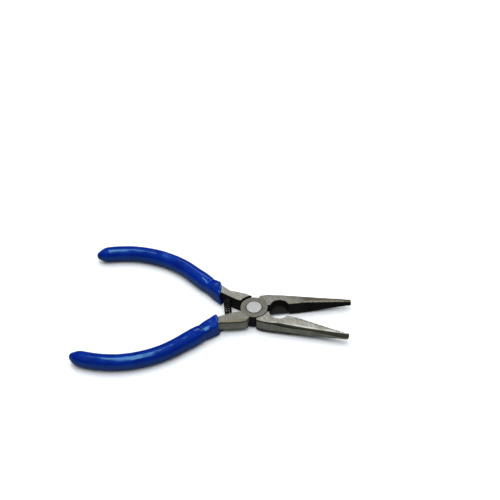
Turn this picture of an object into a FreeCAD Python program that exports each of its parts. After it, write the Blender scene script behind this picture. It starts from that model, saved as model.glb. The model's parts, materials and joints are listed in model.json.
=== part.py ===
import FreeCAD, Part
import math
import os

import Sketcher
from FreeCAD import Placement, Rotation, Vector

# Small long nose pliers with side cutters, serrated jaws and dipped handles.
#
# Row frame: the origin is where the pivot axis leaves the joint's flat underside. +Z is the pivot
# axis, up through the top lever's round boss. +X runs along the middle of the opening, towards
# the jaw tips. Each piece is drawn about the joint's middle plane: a lever with its jaw's face on
# the plane y = 0, where the closed jaws meet. It is then turned about the pivot into the rest
# position, and everything is raised by half the joint's thickness. The bottom lever is the top
# lever's forging turned over about the X axis, with its handle bent in a little further and its
# cutter ground from the other face, so that both cutting edges lie at the same height.

# name, value in millimetres or degrees, what it is
DIMENSIONS = (
    ("opening_angle", 25.0, "angle between the two levers at rest"),
    ("thickness", 6.5, "thickness of the flat joint"),
    ("lap_gap", 0.04, "clearance between the two half laps"),
    ("overshoot", 1.0, "how far a cutting tool runs past the surface it starts or ends at"),
    ("trim_reach_x", 60.0, "half size of the block the jaw's trimming cuts take away"),
    ("trim_reach_y", 20.0, "half size of the same block, across the jaw"),
    ("trim_reach_z", 12.0, "half size of the same block, along the pivot axis"),
    ("boss_radius", 6.0, "round boss of each half lap"),
    ("recess_radius", 6.35, "recess that the other lever's boss turns in"),
    ("face_gap", 0.02, "clearance from the closing plane to each jaw face"),
    # Jaw, seen from above
    ("jaw_root_x", 2.35, "start of the jaw shoulder, inside the boss"),
    ("jaw_root_y", 4.4, "start of the jaw shoulder, inside the boss"),
    ("jaw_corner_x", 3.3, "outer corner of the jaw shoulder"),
    ("jaw_corner_y", 6.85, "outer corner of the jaw shoulder"),
    ("jaw_cheek_x", 10.5, "where the swollen cheek runs into the straight taper"),
    ("jaw_cheek_y", 6.6, "where the swollen cheek runs into the straight taper"),
    ("jaw_cheek_radius", 24.0, "radius of the swollen cheek"),
    ("jaw_length", 43.5, "pivot to jaw tip"),
    ("jaw_tip_width", 2.1, "width of one jaw at its tip"),
    ("jaw_heel_x", 2.5, "inner end of the jaw face, inside the boss"),
    # Jaw taper, as sections across the jaw: distance out from the face, and height
    ("taper_root_x", 2.0, "where the tapered blank starts"),
    ("taper_root_face_z", 5.3, "blank half height at the jaw face, at its root"),
    ("taper_root_ridge_y", 6.95, "bevel ridge, out from the jaw face, at the root"),
    ("taper_root_ridge_z", 4.05, "bevel ridge half height at the root"),
    ("taper_root_side_y", 8.15, "blank half width at the root"),
    ("taper_root_side_z", 3.25, "lower end of the bevel at the root"),
    ("taper_tip_face_z", 1.15, "half height at the jaw face, at the tip"),
    ("taper_tip_ridge_y", 1.1, "bevel ridge, out from the jaw face, at the tip"),
    ("taper_tip_ridge_z", 0.95, "bevel ridge half height at the tip"),
    ("taper_tip_side_z", 0.5, "lower end of the bevel at the tip"),
    # Side cutter: a round hollow from the top, with a sloping blade along the jaw's face
    ("hollow_x", 11.2, "centre of the cutter's round hollow"),
    ("hollow_y", -1.3, "centre of the cutter's round hollow"),
    ("hollow_radius", 4.35, "radius of the hollow"),
    ("edge_drop", 2.35, "cutting edge, below the middle plane"),
    ("blade_slope", 30.0, "rise of the blade's upper face away from its edge"),
    ("blade_start_x", 6.6, "end of the blade nearer the pivot"),
    ("blade_end_x", 15.8, "end of the blade nearer the tip"),
    ("blade_depth", 4.0, "how far the blade runs back under the hollow's wall"),
    ("relief_x", 6.5, "centre of the small relief notch behind the cutter"),
    ("relief_radius", 0.6, "radius of the relief notch"),
    ("teeth_start_x", 20.8, "first tooth groove"),
    ("tooth_pitch", 0.9, "distance between tooth grooves"),
    ("tooth_depth", 0.33, "depth of a tooth groove"),
    ("tooth_count", 24, "number of tooth grooves"),
    # Neck, seen from above
    ("neck_root_x", -2.3, "start of the neck shoulder, inside the boss"),
    ("neck_root_y", -4.6, "start of the neck shoulder, inside the boss"),
    ("neck_corner_x", -3.9, "outer corner of the neck shoulder"),
    ("neck_corner_y", -7.6, "outer corner of the neck shoulder"),
    ("neck_outer_x", -15.5, "where the neck's outer edge turns out towards the handle"),
    ("neck_outer_y", -7.15, "where the neck's outer edge turns out towards the handle"),
    ("neck_outer_radius", 40.0, "radius of the gently swollen outer edge"),
    ("neck_bevel", 1.5, "bevel along the neck's outer edge, on the side away from its boss"),
    ("neck_recess_radius", 7.1, "wider recess on the neck's side of the joint"),
    ("neck_recess_x", -2.5, "end of the wider recess"),
    ("neck_toe_x", -18.4, "rear corner of the neck, inside the grip"),
    ("neck_toe_y", -8.3, "rear corner of the neck, inside the grip"),
    ("neck_inner_x", -19.8, "end of the neck's inner edge, inside the grip"),
    ("neck_inner_y", -4.55, "end of the neck's inner edge, inside the grip"),
    ("neck_bend_x", -9.0, "bend of the neck's inner edge"),
    ("neck_bend_y", -1.95, "bend of the neck's inner edge"),
    ("neck_heel_x", -5.0, "inner end of the neck, inside the boss"),
    ("neck_heel_y", -1.75, "inner end of the neck, inside the boss"),
    ("forging_radius", 0.8, "rounding of the shoulders' upright corners"),
    # Rivet
    ("shank_radius", 2.5, "rivet shank"),
    ("head_radius", 3.25, "rivet head"),
    ("head_depth", 0.75, "depth of the rivet head's cone"),
    ("head_rim", 0.2, "straight rim of the rivet head"),
    ("head_ring_gap", 0.15, "open ring between the rivet head and the lever"),
    ("turning_clearance", 0.05, "radial clearance of the lever that turns on the rivet"),
    # Return spring
    ("top_spring_x", -11.3, "top lever's spring seat, from the pivot along the neck"),
    ("bottom_spring_x", -13.2, "bottom lever's spring seat, from the pivot along the neck"),
    ("seat_radius", 1.95, "radius of the spring seat"),
    ("seat_mouth_y", -2.2, "where the spring leaves its seat"),
    ("seat_depth", 2.0, "depth of the spring seat"),
    ("coil_radius", 1.35, "spring radius to the middle of the wire"),
    ("wire_radius", 0.27, "radius of the spring wire"),
    ("coil_count", 12, "turns of the spring"),
    ("spring_ease", 0.15, "share of the spring's free length over which it bends at each end"),
    ("seat_slack", 0.08, "gap between the spring's end and the seat's floor"),
    # Handle centre line: a straight stretch, then one long arc
    ("collar_x", -16.2, "middle of the grip's collar"),
    ("collar_y", -5.15, "middle of the grip's collar"),
    ("top_handle_slope", 30.2, "top lever: angle of the straight stretch to the closing plane"),
    ("bottom_handle_slope", 25.2, "bottom lever: its handle is bent in a little further"),
    ("top_collar_skew", 29.5, "top lever: turn of the grip's front edge away from square"),
    ("bottom_collar_skew", 38.0, "bottom lever: turn of the grip's front edge"),
    ("top_collar_shift", -0.4, "top lever: the dip line's place along the handle"),
    ("bottom_collar_shift", 0.8, "bottom lever: the dip line's place along the handle"),
    ("straight_length", 21.3, "length of the straight stretch"),
    ("handle_radius", 46.0, "radius of the long arc"),
    ("tang_width", 4.4, "steel bar inside the grip, seen from above"),
    ("tang_height", 4.8, "steel bar inside the grip, along the pivot axis"),
    ("tang_corner", 1.2, "corner radius of the steel bar"),
    ("tang_start", 3.0, "where the bar leaves the neck, along the centre line"),
    ("tang_end", 66.0, "end of the bar, along the centre line"),
)

# Cross sections of the dipped grip: distance along the centre line, share of the collar's skew,
# width, height, corner radius
GRIP_STATIONS = (
    ("lip", 0.0, 1.0, 6.5, 7.4, 1.9),
    ("band", 1.0, 0.85, 6.8, 7.7, 2.0),
    ("waist", 5.0, 0.3, 6.5, 7.4, 2.0),
    ("crease", 8.8, 0.08, 6.5, 7.1, 2.3),
    ("swell", 12.5, 0.0, 7.3, 7.4, 3.4),
    ("palm", 20.0, 0.0, 7.0, 7.1, 3.4),
    ("slim", 30.0, 0.0, 6.7, 6.7, 3.25),
    ("bow", 46.0, 0.0, 6.6, 6.6, 3.2),
    ("rear", 61.0, 0.0, 6.6, 6.6, 3.2),
    ("taper", 66.8, 0.0, 6.0, 6.1, 2.9),
    ("end", 69.6, 0.0, 3.4, 3.9, 1.6),
)
COLLAR_STATIONS = ("lip", "band")

SAME_PLACE = 0.05
STEPS_PER_COIL = 16


def build_sheet(doc):
    """The spreadsheet that holds every driving dimension under its own name."""
    rows = list(DIMENSIONS)
    for name, along, skew, width, height, corner in GRIP_STATIONS:
        rows.append((f"grip_{name}_along", along, f"grip {name}: distance from the collar"))
        rows.append((f"grip_{name}_skew", skew, f"grip {name}: share of the collar's skew"))
        rows.append((f"grip_{name}_width", width, f"grip {name}: width from above"))
        rows.append((f"grip_{name}_height", height, f"grip {name}: height"))
        rows.append((f"grip_{name}_corner", corner, f"grip {name}: corner radius"))
    sheet = doc.addObject("Spreadsheet::Sheet", "Dims")
    for row, (alias, value, note) in enumerate(rows, start=1):
        sheet.set(f"A{row}", note)
        sheet.set(f"B{row}", str(value))
        sheet.setAlias(f"B{row}", alias)
    doc.recompute()
    return sheet


# ---------------------------------------------------------------- sketch tools


def add_sketch(body, name, role, offset=None):
    """A sketch on one of the body's origin planes, moved along the plane's normal by offset."""
    plane = next(f for f in body.Origin.OriginFeatures if f.Role == role)
    sketch = body.newObject("Sketcher::SketchObject", name)
    sketch.AttachmentSupport = [(plane, "")]
    sketch.MapMode = "FlatFace"
    if offset is not None:
        sketch.setExpression("AttachmentOffset.Base.z", offset)
    return sketch


def value_of(sketch, text):
    """The number that an expression has now."""
    result = sketch.evalExpression(text)
    return float(getattr(result, "Value", result))


def bind(sketch, kind, *args):
    """Add a constraint whose last argument is an expression, and bind it to that expression."""
    text = args[-1]
    index = sketch.addConstraint(Sketcher.Constraint(kind, *args[:-1], value_of(sketch, text)))
    sketch.setExpression(f"Constraints[{index}]", text)


def bind_point(sketch, geometry, vertex, x_text, y_text):
    """Fix a point of the sketch at a place given by two expressions; "0" puts it on an axis."""
    for kind, text, axis in (("DistanceX", x_text, -2), ("DistanceY", y_text, -1)):
        if text == "0":
            on_axis = Sketcher.Constraint("PointOnObject", geometry, vertex, axis)
            sketch.addConstraint(on_axis)
        else:
            bind(sketch, kind, -1, 1, geometry, vertex, text)


def add_arc(sketch, start, end, radius, turns_left):
    """An arc from start to end; returns its index and which of its ends is start and end."""
    chord = end - start
    half = chord.Length / 2
    across = Vector(-chord.y, chord.x, 0).normalize()
    rise = math.sqrt(radius**2 - half**2)
    centre = (start + end) * 0.5 + across * (rise if turns_left else -rise)
    first, last = (start, end) if turns_left else (end, start)
    angle_first = math.atan2(first.y - centre.y, first.x - centre.x)
    angle_last = math.atan2(last.y - centre.y, last.x - centre.x)
    if angle_last < angle_first:
        angle_last += 2 * math.pi
    circle = Part.Circle(centre, Vector(0, 0, 1), radius)
    index = sketch.addGeometry(Part.ArcOfCircle(circle, angle_first, angle_last))
    return (index, 1, 2) if turns_left else (index, 2, 1)


def draw_path(sketch, corners, arcs=None, closed=True):
    """Draw a path through corners, each a pair of expressions.

    arcs maps a stretch's number to (radius expression, turns left); other stretches are straight.
    """
    arcs = arcs or {}
    points = [Vector(value_of(sketch, x), value_of(sketch, y), 0) for x, y in corners]
    stretches = len(points) if closed else len(points) - 1
    drawn = []
    for i in range(stretches):
        start, end = points[i], points[(i + 1) % len(points)]
        if i in arcs:
            radius, turns_left = arcs[i]
            drawn.append(add_arc(sketch, start, end, value_of(sketch, radius), turns_left))
        else:
            drawn.append((sketch.addGeometry(Part.LineSegment(start, end)), 1, 2))
    for i in range(stretches if closed else stretches - 1):
        index, _, last = drawn[i]
        next_index, next_first, _ = drawn[(i + 1) % stretches]
        sketch.addConstraint(
            Sketcher.Constraint("Coincident", index, last, next_index, next_first)
        )
    for (index, first, _), (x, y) in zip(drawn, corners):
        bind_point(sketch, index, first, x, y)
    if not closed:
        index, _, last = drawn[-1]
        bind_point(sketch, index, last, *corners[-1])
    for i, (radius, _) in arcs.items():
        bind(sketch, "Radius", drawn[i][0], radius)


def draw_circle(sketch, radius, x_text="0", y_text="0"):
    """A circle at a place given by expressions."""
    centre = Vector(value_of(sketch, x_text), value_of(sketch, y_text), 0)
    circle = Part.Circle(centre, Vector(0, 0, 1), value_of(sketch, radius))
    index = sketch.addGeometry(circle)
    bind(sketch, "Radius", index, radius)
    bind_point(sketch, index, 3, x_text, y_text)


def draw_rounded_box(sketch, width, height, corner):
    """A rectangle with round corners, centred on the sketch's origin."""
    radius = value_of(sketch, corner)
    reach_x = value_of(sketch, width) / 2 - radius
    reach_y = value_of(sketch, height) / 2 - radius
    signs = ((1, 1), (-1, 1), (-1, -1), (1, -1))
    arcs = []
    for quarter, (sign_x, sign_y) in enumerate(signs):
        centre = Vector(sign_x * reach_x, sign_y * reach_y, 0)
        circle = Part.Circle(centre, Vector(0, 0, 1), radius)
        start = quarter * math.pi / 2
        arcs.append(sketch.addGeometry(Part.ArcOfCircle(circle, start, start + math.pi / 2)))
    for quarter, arc in enumerate(arcs):
        following = arcs[(quarter + 1) % 4]
        start = sketch.getPoint(arc, 2)
        end = sketch.getPoint(following, 1)
        line = sketch.addGeometry(Part.LineSegment(start, end))
        sketch.addConstraint(Sketcher.Constraint("Tangent", arc, 2, line, 1))
        sketch.addConstraint(Sketcher.Constraint("Tangent", line, 2, following, 1))
        direction = "Horizontal" if quarter % 2 == 0 else "Vertical"
        sketch.addConstraint(Sketcher.Constraint(direction, line))
    for arc in arcs[1:]:
        sketch.addConstraint(Sketcher.Constraint("Equal", arcs[0], arc))
    bind(sketch, "Radius", arcs[0], corner)
    bind(sketch, "DistanceX", -1, 1, arcs[0], 3, f"{width} / 2 - {corner}")
    bind(sketch, "DistanceY", -1, 1, arcs[0], 3, f"{height} / 2 - {corner}")
    sketch.addConstraint(Sketcher.Constraint("Symmetric", arcs[0], 3, arcs[2], 3, -1, 1))


# --------------------------------------------------------------- feature tools


def cut_through(body, sketch, name):
    """Cut a sketch's outline through the whole body, both ways."""
    pocket = body.newObject("PartDesign::Pocket", name)
    pocket.Profile = sketch
    pocket.Midplane = True
    pocket.Type = "ThroughAll"
    return pocket


def place(item, sheet, side=None):
    """Raise a sub-part from the middle plane, and turn a lever's part to its rest position."""
    half_opening = sheet.opening_angle / 2
    turns = {None: 0, "top": half_opening, "bottom": -half_opening}
    over = Rotation(Vector(1, 0, 0), 180 if side == "bottom" else 0)
    turn = Rotation(Vector(0, 0, 1), turns[side])
    item.Placement = Placement(Vector(0, 0, sheet.thickness / 2), turn * over)


def station_text(slope, along, straight):
    """Expressions for a place on the handle's centre line: x, y and the line's angle."""
    if straight:
        x = f"Dims.collar_x - ({along}) * cos({slope})"
        y = f"Dims.collar_y - ({along}) * sin({slope})"
        return x, y, slope
    turn = f"({along} - Dims.straight_length) / Dims.handle_radius * 180 / pi"
    angle = f"({slope} - {turn})"
    bend_x, bend_y, _ = station_text(slope, "Dims.straight_length", True)
    x = f"{bend_x} - Dims.handle_radius * (sin({slope}) - sin{angle})"
    y = f"{bend_y} + Dims.handle_radius * (cos({slope}) - cos{angle})"
    return x, y, angle


def add_section(body, name, station, skew="0"):
    """A sketch across the handle's centre line, skewed away from square by an angle."""
    sketch = add_sketch(body, name, "YZ_Plane")
    x, y, angle = station
    sketch.AttachmentOffset = Placement(Vector(0, 0, 0), Rotation(Vector(0, 1, 0), 10))
    sketch.setExpression("AttachmentOffset.Base.x", y)
    sketch.setExpression("AttachmentOffset.Base.z", x)
    sketch.setExpression("AttachmentOffset.Rotation.Angle", f"{angle} - {skew}")
    return sketch


# ---------------------------------------------------------------------- levers


def add_jaw(doc, body):
    """The tapered jaw: a bevelled blank, trimmed to its outline and to the joint's thickness."""
    root = add_sketch(body, "jaw_root_section", "YZ_Plane", "Dims.taper_root_x")
    tip = add_sketch(body, "jaw_tip_section", "YZ_Plane", "Dims.jaw_length")
    ends = ((root, "root", "Dims.taper_root_side_y"), (tip, "tip", "Dims.jaw_tip_width"))
    for sketch, end, side in ends:
        ridge = (f"Dims.taper_{end}_ridge_y", f"Dims.taper_{end}_ridge_z")
        upper = (
            ("Dims.face_gap", f"Dims.taper_{end}_face_z"),
            ridge,
            (side, f"Dims.taper_{end}_side_z"),
        )
        lower = tuple((y, f"-{z}") for y, z in reversed(upper))
        draw_path(sketch, upper + lower)
    doc.recompute()
    blank = body.newObject("PartDesign::AdditiveLoft", "jaw_blank")
    blank.Profile = root
    blank.Sections = [tip]
    blank.Ruled = True

    outline = add_sketch(body, "jaw_outline", "XY_Plane")
    draw_path(
        outline,
        (
            ("Dims.jaw_heel_x", "Dims.face_gap"),
            ("Dims.jaw_length", "Dims.face_gap"),
            ("Dims.jaw_length", "Dims.jaw_tip_width"),
            ("Dims.jaw_cheek_x", "Dims.jaw_cheek_y"),
            ("Dims.jaw_corner_x", "Dims.jaw_corner_y"),
            ("Dims.jaw_root_x", "Dims.jaw_root_y"),
        ),
        arcs={3: ("Dims.jaw_cheek_radius", True)},
    )
    draw_frame(outline, "Dims.trim_reach_x", "Dims.trim_reach_y")
    cut_through(body, outline, "jaw_outline_trim")

    slabs = add_sketch(body, "jaw_faces", "XZ_Plane")
    draw_box(slabs, "Dims.trim_reach_x", "Dims.thickness / 2", "Dims.trim_reach_z")
    draw_box(slabs, "Dims.trim_reach_x", "-Dims.trim_reach_z", "-Dims.thickness / 2")
    cut_through(body, slabs, "jaw_face_trim")
    doc.recompute()


def draw_frame(sketch, reach_x, reach_y):
    """A large rectangle around the outline, so that a cut takes what lies outside the outline."""
    draw_path(
        sketch,
        (
            (f"-{reach_x}", f"-{reach_y}"),
            (reach_x, f"-{reach_y}"),
            (reach_x, reach_y),
            (f"-{reach_x}", reach_y),
        ),
    )


def draw_box(sketch, reach_x, low_y, high_y):
    """A rectangle from -reach_x to reach_x between two heights."""
    draw_path(
        sketch,
        ((f"-{reach_x}", low_y), (reach_x, low_y), (reach_x, high_y), (f"-{reach_x}", high_y)),
    )


def add_neck(body):
    """The full-thickness neck between the joint and the grip."""
    outline = add_sketch(body, "neck_outline", "XY_Plane")
    draw_path(
        outline,
        (
            ("Dims.neck_root_x", "Dims.neck_root_y"),
            ("Dims.neck_heel_x", "Dims.neck_heel_y"),
            ("Dims.neck_bend_x", "Dims.neck_bend_y"),
            ("Dims.neck_inner_x", "Dims.neck_inner_y"),
            ("Dims.neck_toe_x", "Dims.neck_toe_y"),
            ("Dims.neck_outer_x", "Dims.neck_outer_y"),
            ("Dims.neck_corner_x", "Dims.neck_corner_y"),
        ),
        arcs={5: ("Dims.neck_outer_radius", True)},
    )
    pad = body.newObject("PartDesign::Pad", "neck")
    pad.Profile = outline
    pad.Midplane = True
    pad.setExpression("Length", "Dims.thickness")


def add_boss(body):
    """The half lap: a round boss above the middle plane, and room for the other boss below it."""
    circle = add_sketch(body, "boss_circle", "XY_Plane", "Dims.lap_gap / 2")
    draw_circle(circle, "Dims.boss_radius")
    boss = body.newObject("PartDesign::Pad", "boss")
    boss.Profile = circle
    boss.setExpression("Length", "(Dims.thickness - Dims.lap_gap) / 2")

    recess_circle = add_sketch(body, "recess_circle", "XY_Plane", "Dims.lap_gap / 2")
    draw_circle(recess_circle, "Dims.recess_radius")
    recess = body.newObject("PartDesign::Pocket", "recess")
    recess.Profile = recess_circle
    recess.setExpression("Length", "Dims.thickness")

    wide_recess = add_sketch(body, "neck_recess_arc", "XY_Plane", "Dims.lap_gap / 2")
    reach = "sqrt(Dims.neck_recess_radius ^ 2 - Dims.neck_recess_x ^ 2)"
    draw_path(
        wide_recess,
        (("Dims.neck_recess_x", reach), ("Dims.neck_recess_x", f"-{reach}")),
        arcs={0: ("Dims.neck_recess_radius", True)},
    )
    pocket = body.newObject("PartDesign::Pocket", "neck_recess")
    pocket.Profile = wide_recess
    pocket.setExpression("Length", "Dims.thickness")


def add_rivet_hole(body, clearance):
    """The pivot hole with its countersink, turned about the pivot axis."""
    section = add_sketch(body, "rivet_hole_section", "XZ_Plane")
    bore = f"Dims.shank_radius + {clearance}"
    mouth = "Dims.head_radius + Dims.head_ring_gap"
    top = "Dims.thickness / 2"
    draw_path(
        section,
        (
            ("0", f"-{top} - Dims.overshoot"),
            (bore, f"-{top} - Dims.overshoot"),
            (bore, f"{top} - Dims.head_depth - {clearance}"),
            (mouth, f"{top} - Dims.head_rim - {clearance}"),
            (mouth, f"{top} + Dims.overshoot"),
            ("0", f"{top} + Dims.overshoot"),
        ),
    )
    groove = body.newObject("PartDesign::Groove", "rivet_hole")
    groove.Profile = section
    groove.ReferenceAxis = (section, ["V_Axis"])
    groove.Angle = 360


def add_cutter(doc, body, up):
    """The side cutter: a round hollow from the object's top, floored by a sloping blade.

    up is 1 where the object's top is this lever's own top, and -1 where the lever is turned over.
    """
    edge_z = f"{-up} * Dims.edge_drop"
    circle = add_sketch(body, "hollow_circle", "XY_Plane", edge_z)
    draw_circle(circle, "Dims.hollow_radius", "Dims.hollow_x", "Dims.hollow_y")
    hollow = body.newObject("PartDesign::Pocket", "cutter_hollow")
    hollow.Profile = circle
    hollow.Reversed = up > 0
    hollow.setExpression("Length", "Dims.thickness")
    doc.recompute()

    rise = "Dims.blade_depth * tan(Dims.blade_slope)"
    blade_outline = add_sketch(body, "blade_outline", "YZ_Plane", "Dims.blade_start_x")
    draw_path(
        blade_outline,
        (
            ("Dims.face_gap", edge_z),
            ("Dims.face_gap + Dims.blade_depth", edge_z),
            ("Dims.face_gap + Dims.blade_depth", f"{edge_z} + {up} * {rise}"),
        ),
    )
    blade = body.newObject("PartDesign::Pad", "blade")
    blade.Profile = blade_outline
    blade.setExpression("Length", "Dims.blade_end_x - Dims.blade_start_x")
    doc.recompute()

    under = "(Dims.thickness / 2 - Dims.edge_drop + Dims.overshoot)"
    back_outline = add_sketch(body, "blade_back_outline", "YZ_Plane", "Dims.blade_start_x")
    draw_path(
        back_outline,
        (
            ("-Dims.overshoot", edge_z),
            ("Dims.face_gap", edge_z),
            (f"Dims.face_gap + {under}", f"{edge_z} - {up} * {under}"),
            ("-Dims.overshoot", f"{edge_z} - {up} * {under}"),
        ),
    )
    back = body.newObject("PartDesign::Pocket", "blade_back")
    back.Profile = back_outline
    back.Reversed = True
    back.setExpression("Length", "Dims.blade_end_x - Dims.blade_start_x")
    doc.recompute()


def add_openings(body, side):
    """The relief notch behind the cutter, and the blind seat for the return spring."""
    notch = add_sketch(body, "relief_circle", "XY_Plane")
    draw_circle(notch, "Dims.relief_radius", "Dims.relief_x")
    cut_through(body, notch, "relief_notch")

    mouth = "-Dims.seat_mouth_y - Dims.overshoot"
    seat_circle = add_sketch(body, "spring_seat_circle", "XZ_Plane", mouth)
    draw_circle(seat_circle, "Dims.seat_radius", f"Dims.{side}_spring_x")
    seat = body.newObject("PartDesign::Pocket", "spring_seat")
    seat.Profile = seat_circle
    seat.Reversed = True
    seat.setExpression("Length", "Dims.seat_depth + Dims.overshoot")


def add_tang(doc, body, slope):
    """The steel bar that runs on inside the grip, swept along the handle's centre line."""
    stations = (
        station_text(slope, "Dims.tang_start", True),
        station_text(slope, "Dims.straight_length", True),
        station_text(slope, "Dims.tang_end", False),
    )
    line = add_sketch(body, "tang_line", "XY_Plane")
    draw_path(
        line,
        tuple((x, y) for x, y, _ in stations),
        arcs={1: ("Dims.handle_radius", False)},
        closed=False,
    )
    section = add_section(body, "tang_section", stations[0])
    draw_rounded_box(section, "Dims.tang_width", "Dims.tang_height", "Dims.tang_corner")
    doc.recompute()
    tang = body.newObject("PartDesign::AdditivePipe", "tang")
    tang.Profile = section
    tang.Spine = (line, ["Edge1", "Edge2"])


def add_teeth(doc, body):
    """Tooth grooves across the jaw face, repeated along it."""
    groove = add_sketch(body, "tooth_outline", "XY_Plane")
    half = "Dims.tooth_pitch / 2"
    draw_path(
        groove,
        (
            (f"Dims.teeth_start_x - {half} - Dims.face_gap", "-Dims.face_gap"),
            (f"Dims.teeth_start_x + {half} + Dims.face_gap", "-Dims.face_gap"),
            ("Dims.teeth_start_x", "Dims.tooth_depth + Dims.face_gap"),
        ),
    )
    first = cut_through(body, groove, "tooth")
    doc.recompute()
    row = body.newObject("PartDesign::LinearPattern", "teeth")
    row.Originals = [first]
    row.Direction = (groove, ["H_Axis"])
    row.setExpression("Length", "Dims.tooth_pitch * (Dims.tooth_count - 1)")
    row.setExpression("Occurrences", "Dims.tooth_count")
    body.Tip = row
    doc.recompute()


def dress_forging(doc, sheet, body):
    """Bevel one long outer edge of the neck, then round the two shoulders' upright corners."""
    lever = body.Tip
    edges = []
    for number, edge in enumerate(lever.Shape.Edges, start=1):
        is_arc = edge.Curve.TypeId == "Part::GeomCircle"
        below = edge.CenterOfMass.z < 0
        if is_arc and below and abs(edge.Curve.Radius - sheet.neck_outer_radius) < SAME_PLACE:
            edges.append(f"Edge{number}")
    chamfer = body.newObject("PartDesign::Chamfer", "neck_bevel")
    chamfer.Base = (lever, edges)
    chamfer.setExpression("Size", "Dims.neck_bevel")
    doc.recompute()

    corners = (
        (sheet.neck_corner_x, sheet.neck_corner_y),
        (sheet.jaw_corner_x, sheet.jaw_corner_y),
    )
    lever = body.Tip
    edges = []
    for number, edge in enumerate(lever.Shape.Edges, start=1):
        middle = edge.valueAt((edge.FirstParameter + edge.LastParameter) / 2)
        upright = abs(edge.tangentAt(edge.FirstParameter).z) > 0.99
        if upright and any(math.dist(middle[:2], place) < SAME_PLACE for place in corners):
            edges.append(f"Edge{number}")
    fillet = body.newObject("PartDesign::Fillet", "shoulder_rounds")
    fillet.Base = (lever, edges)
    fillet.setExpression("Radius", "Dims.forging_radius")
    doc.recompute()


def build_lever(doc, sheet, side, slope, clearance):
    """One forged lever: jaw, half lap, neck and the bar inside its grip."""
    body = doc.addObject("PartDesign::Body", f"{side}_lever")
    body.Label = f"{side}_lever"
    add_jaw(doc, body)
    add_neck(body)
    doc.recompute()
    add_boss(body)
    doc.recompute()
    dress_forging(doc, sheet, body)
    add_rivet_hole(body, clearance)
    doc.recompute()
    add_cutter(doc, body, 1 if side == "top" else -1)
    add_openings(body, side)
    doc.recompute()
    add_tang(doc, body, slope)
    doc.recompute()
    add_teeth(doc, body)
    place(body, sheet, side)
    return body


# ------------------------------------------------------------ grips and hardware


def build_grip(doc, sheet, side, slope, lever):
    """The dipped grip: a lofted sleeve with the lever's own steel cut out of it."""
    body = doc.addObject("PartDesign::Body", f"{side}_grip_outside")
    sections = []
    for name, along, *_ in GRIP_STATIONS:
        straight = along <= sheet.straight_length
        place_along = f"Dims.grip_{name}_along"
        if name in COLLAR_STATIONS:
            place_along += f" + Dims.{side}_collar_shift"
        station = station_text(slope, place_along, straight)
        skew = f"Dims.grip_{name}_skew * Dims.{side}_collar_skew"
        section = add_section(body, f"{name}_section", station, skew)
        draw_rounded_box(
            section,
            f"Dims.grip_{name}_width",
            f"Dims.grip_{name}_height",
            f"Dims.grip_{name}_corner",
        )
        sections.append(section)
    doc.recompute()
    loft = body.newObject("PartDesign::AdditiveLoft", "sleeve")
    loft.Profile = sections[0]
    loft.Sections = sections[1:]
    place(body, sheet, side)
    doc.recompute()
    grip = doc.addObject("Part::Cut", f"{side}_lever_grip")
    grip.Label = f"{side}_lever_grip"
    grip.Base = body
    grip.Tool = lever
    doc.recompute()
    return grip


def build_rivet(doc, sheet):
    """The flush pivot rivet, turned about the pivot axis."""
    body = doc.addObject("PartDesign::Body", "pivot_rivet")
    body.Label = "pivot_rivet"
    section = add_sketch(body, "rivet_section", "XZ_Plane")
    top = "Dims.thickness / 2"
    upper = (
        ("Dims.shank_radius", f"{top} - Dims.head_depth"),
        ("Dims.head_radius", f"{top} - Dims.head_rim"),
        ("Dims.head_radius", top),
        ("0", top),
    )
    lower = tuple((x, f"-({z})") for x, z in reversed(upper))
    draw_path(section, upper + lower)
    rivet = body.newObject("PartDesign::Revolution", "rivet")
    rivet.Profile = section
    rivet.ReferenceAxis = (section, ["V_Axis"])
    rivet.Angle = 360
    place(body, sheet)
    doc.recompute()
    return body


def spring_mouth(sheet, side):
    """Where the spring leaves a lever's seat, and which way, about the joint's middle plane."""
    over = 1 if side == "top" else -1
    turn = Rotation(Vector(0, 0, 1), over * sheet.opening_angle / 2)
    mouth = Vector(getattr(sheet, f"{side}_spring_x"), over * sheet.seat_mouth_y, 0)
    return turn.multVec(mouth), turn.multVec(Vector(0, over, 0))


def build_spring(doc, sheet):
    """The return spring: a coil whose middle runs straight out of each seat and bends between.

    The wire is a helix about a bent line, which no sketch or primitive makes, so its path is
    computed here from the sheet.
    """
    first, first_way = spring_mouth(sheet, "top")
    last, last_way = spring_mouth(sheet, "bottom")
    straight = sheet.seat_depth - sheet.seat_slack - sheet.wire_radius
    bend = (last - first).Length
    line = Part.BezierCurve()
    ease = bend * sheet.spring_ease
    line.setPoles([first, first + first_way * ease, last + last_way * ease, last])

    def middle(along):
        """A point of the middle line and the direction square to it, in the XY plane."""
        share = min(max((along - straight) / bend, 0), 1)
        forward = line.tangent(share)[0]
        past = min(along - straight, 0) + max(along - straight - bend, 0)
        return line.value(share) + forward * past, Vector(-forward.y, forward.x, 0)

    steps = int(sheet.coil_count) * STEPS_PER_COIL
    points = []
    for step in range(steps + 1):
        share = step / steps
        turn = 2 * math.pi * sheet.coil_count * share
        point, outward = middle((2 * straight + bend) * share)
        points.append(
            point
            + outward * (sheet.coil_radius * math.cos(turn))
            + Vector(0, 0, sheet.coil_radius * math.sin(turn))
        )
    wire_path = Part.BSplineCurve()
    wire_path.interpolate(points)
    path = Part.Wire([wire_path.toShape()])
    start_direction = wire_path.tangent(wire_path.FirstParameter)[0]
    circle = Part.makeCircle(sheet.wire_radius, points[0], start_direction)
    spring = doc.addObject("Part::Feature", "return_spring")
    spring.Label = "return_spring"
    spring.Shape = path.makePipeShell([Part.Wire([circle])], True, True)
    place(spring, sheet)
    doc.recompute()
    return spring


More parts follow.
